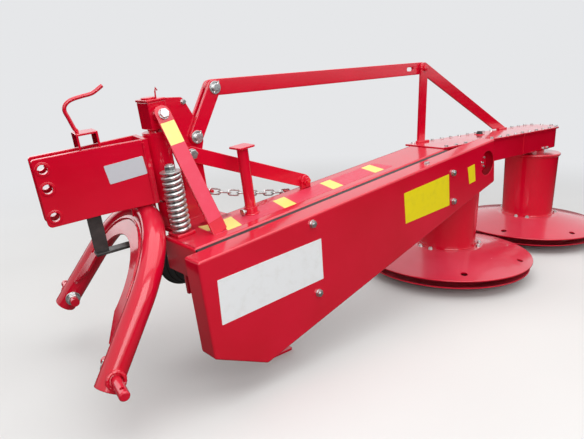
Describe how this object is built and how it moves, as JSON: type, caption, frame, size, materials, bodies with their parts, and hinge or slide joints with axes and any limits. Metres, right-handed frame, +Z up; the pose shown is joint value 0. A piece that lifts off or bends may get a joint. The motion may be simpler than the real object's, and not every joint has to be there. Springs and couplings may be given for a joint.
{
  "type": "two-drum rotary mower",
  "caption": "Rear-mounted drum mower on a three-point hitch: swung-back belt-guarded arm, two drums with conical discs and free slide discs, bent tube hitch arch, upper linkage and parking leg.",
  "frame": {"origin": "centre of the machine's bounding box on the ground", "axes": "+X towards the tractor, +Y to the left, +Z up; the mower stands parked with its arm swung back"},
  "size_m": [2.9099, 0.9666, 0.9443],
  "materials": {
    "red_paint": "gloss",
    "black_paint": "satin",
    "black_plastic": "matte",
    "zinc": "satin",
    "steel": "satin",
    "label_film": "satin"
  },
  "bodies": {
    "arm": {"arm_frame": "red_paint", "hub_cheek": "red_paint", "input_housing": "red_paint", "input_cone": "black_plastic", "guard_box": "red_paint", "guard_standoffs": "red_paint", "headstock": "red_paint", "swing_pin": "steel", "flat_strut": "red_paint", "flat_brace": "red_paint", "spring_seat": "red_paint", "tension_spring": "zinc", "tension_bolt": "zinc", "leg_sleeve": "red_paint", "leg_lock": "zinc", "lock_chain": "zinc"},
    "input": {"input_shaft": "steel", "belt_pulley": "steel"},
    "hitch": {"mast_left": "red_paint", "mast_right": "red_paint", "mast_core": "red_paint", "arch_tube": "red_paint", "arch_web": "red_paint", "lower_pin_left": "zinc", "lower_pin_right": "zinc", "shaft_strap": "black_paint", "rod_hook": "red_paint", "hook_bracket": "red_paint"},
    "rocker": {"rocker": "red_paint", "rocker_pins": "zinc"},
    "top_bar": {"top_bar": "red_paint"},
    "leg": {"parking_leg": "red_paint"},
    "cutter": {"beam_body": "red_paint", "beam_lid": "red_paint", "beam_gears": "steel", "hub_trunnion": "red_paint", "spindles": "steel", "upright_frame": "red_paint"},
    "drum_one": {"drum_1": "red_paint", "disc_1": "red_paint", "knives_1": "steel"},
    "drum_two": {"drum_2": "red_paint", "disc_2": "red_paint", "knives_2": "steel"},
    "slide_one": {"slide_disc_1": "red_paint"},
    "slide_two": {"slide_disc_2": "red_paint"}
  },
  "joints": [
    {"name": "hitch_swing", "type": "hinge", "parent": "arm", "child": "hitch", "pos_m": [1.09563, -0.01673, 0.65704], "axis": [0.1219, 0, 0.9925], "range_deg": [-77, 3]},
    {"name": "cutter_tilt", "type": "hinge", "parent": "arm", "child": "cutter", "pos_m": [-0.20796, 0.23627, 0.535], "axis": [0, 1, 0], "range_deg": [-2, 4]},
    {"name": "rocker_turn", "type": "hinge", "parent": "arm", "child": "rocker", "pos_m": [0.98756, 0.00027, 0.72875], "axis": [0, 1, 0], "range_deg": [-5.4, 10.7]},
    {"name": "top_bar_turn", "type": "hinge", "parent": "rocker", "child": "top_bar", "pos_m": [0.91357, 0.00027, 0.87284], "axis": [0, 1, 0], "range_deg": [-11.5, 5.8]},
    {"name": "drum_one_turn", "type": "hinge", "parent": "cutter", "child": "drum_one", "pos_m": [-0.27496, 0.10327, 0.3], "axis": [0, 0, 1], "continuous": true},
    {"name": "drum_two_turn", "type": "hinge", "parent": "cutter", "child": "drum_two", "pos_m": [-1.07496, 0.10327, 0.3], "axis": [0, 0, 1], "continuous": true},
    {"name": "input_turn", "type": "hinge", "parent": "arm", "child": "input", "pos_m": [1.0167, 0.10327, 0.33426], "axis": [0, -1, 0], "continuous": true},
    {"name": "slide_one_turn", "type": "hinge", "parent": "cutter", "child": "slide_one", "pos_m": [-0.27496, 0.10327, 0.03], "axis": [0, 0, 1], "continuous": true},
    {"name": "slide_two_turn", "type": "hinge", "parent": "cutter", "child": "slide_two", "pos_m": [-1.07496, 0.10327, 0.03], "axis": [0, 0, 1], "continuous": true},
    {"name": "leg_slide", "type": "slide", "parent": "arm", "child": "leg", "axis": [0.1219, 0, 0.9925], "range_m": [0, 0.24]}
  ],
  "couplings": [
    {"joint": "rocker_turn", "follows": "cutter_tilt", "ratio": 2.67},
    {"joint": "top_bar_turn", "follows": "cutter_tilt", "ratio": -2.87},
    {"joint": "drum_two_turn", "follows": "drum_one_turn", "ratio": -1},
    {"joint": "input_turn", "follows": "drum_one_turn", "ratio": 0.284}
  ]
}
